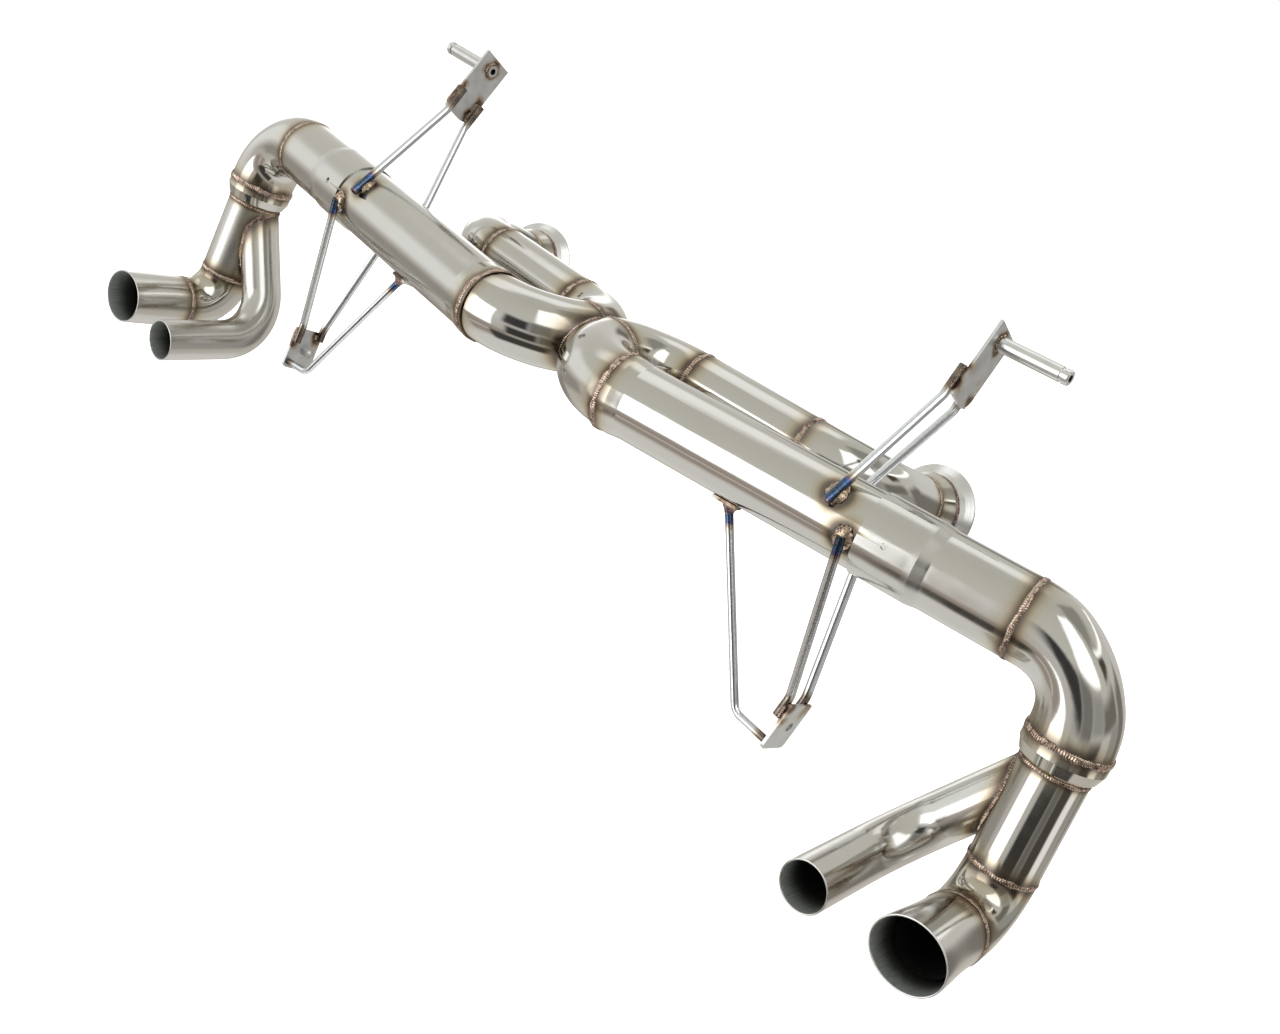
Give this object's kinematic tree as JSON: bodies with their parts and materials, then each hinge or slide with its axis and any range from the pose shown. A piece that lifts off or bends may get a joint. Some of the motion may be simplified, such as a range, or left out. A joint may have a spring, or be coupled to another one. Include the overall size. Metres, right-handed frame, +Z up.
{
  "type": "racing exhaust system",
  "caption": "Twin-bank stainless exhaust: kissing centre crossover, long main pipes, slip-jointed twin tips, V-band inlets, pin hangers and lower brackets.",
  "frame": {"origin": "centre of the bounding box, on the left-right symmetry plane", "axes": "+X across the car to its right-hand tips as seen from behind with +Z up, +Y forward to the engine, +Z up; the tips face -Y"},
  "size_m": [1.3008, 0.3988, 0.456],
  "materials": {
    "polished_tube": "mirror polished with heat tint beside the welds",
    "satin_plate": "satin, blasted",
    "machined_stainless": "fine turned",
    "drawn_rod": "bright drawn"
  },
  "bodies": {
    "centre_section": {"crossover_rear_right": "polished_tube", "crossover_front_right": "polished_tube", "main_pipe_right": "polished_tube", "inlet_tube_right": "polished_tube", "inlet_elbow_right": "polished_tube", "inlet_reducer_right": "polished_tube", "clamp_flange_right": "machined_stainless", "hanger_plate_right": "satin_plate", "hanger_pin_right": "machined_stainless", "hanger_rod_rear_right": "drawn_rod", "hanger_rod_front_right": "drawn_rod", "bracket_rod_rear_right": "drawn_rod", "bracket_rod_front_right": "drawn_rod", "bracket_plate_right": "satin_plate", "weld_nut_right": "machined_stainless", "stay_tab_right": "satin_plate", "stay_rod_right": "drawn_rod", "crossover_rear_left": "polished_tube", "crossover_front_left": "polished_tube", "main_pipe_left": "polished_tube", "inlet_tube_left": "polished_tube", "inlet_elbow_left": "polished_tube", "inlet_reducer_left": "polished_tube", "clamp_flange_left": "machined_stainless", "hanger_plate_left": "satin_plate", "hanger_pin_left": "machined_stainless", "hanger_rod_rear_left": "drawn_rod", "hanger_rod_front_left": "drawn_rod", "bracket_rod_rear_left": "drawn_rod", "bracket_rod_front_left": "drawn_rod", "bracket_plate_left": "satin_plate", "weld_nut_left": "machined_stainless", "stay_tab_left": "satin_plate", "stay_rod_left": "drawn_rod"},
    "tip_section_right": {"slip_pipe_right": "polished_tube", "main_elbow_right": "polished_tube", "collar_right": "polished_tube", "merge_tube_right": "polished_tube", "branch_tube_right": "polished_tube", "tip_bend_right": "polished_tube", "large_tip_right": "polished_tube"},
    "tip_section_left": {"slip_pipe_left": "polished_tube", "main_elbow_left": "polished_tube", "collar_left": "polished_tube", "merge_tube_left": "polished_tube", "branch_tube_left": "polished_tube", "tip_bend_left": "polished_tube", "large_tip_left": "polished_tube"}
  },
  "joints": [
    {"name": "slip_joint_right", "type": "hinge", "parent": "centre_section", "child": "tip_section_right", "pos_m": [0.39691, -0.04923, 0.03823], "axis": [0.9866, 0.1633, 0], "range_deg": [-12, 12]},
    {"name": "slip_joint_left", "type": "hinge", "parent": "centre_section", "child": "tip_section_left", "pos_m": [-0.39691, -0.04923, 0.03823], "axis": [-0.9866, 0.1633, 0], "range_deg": [-12, 12]}
  ]
}
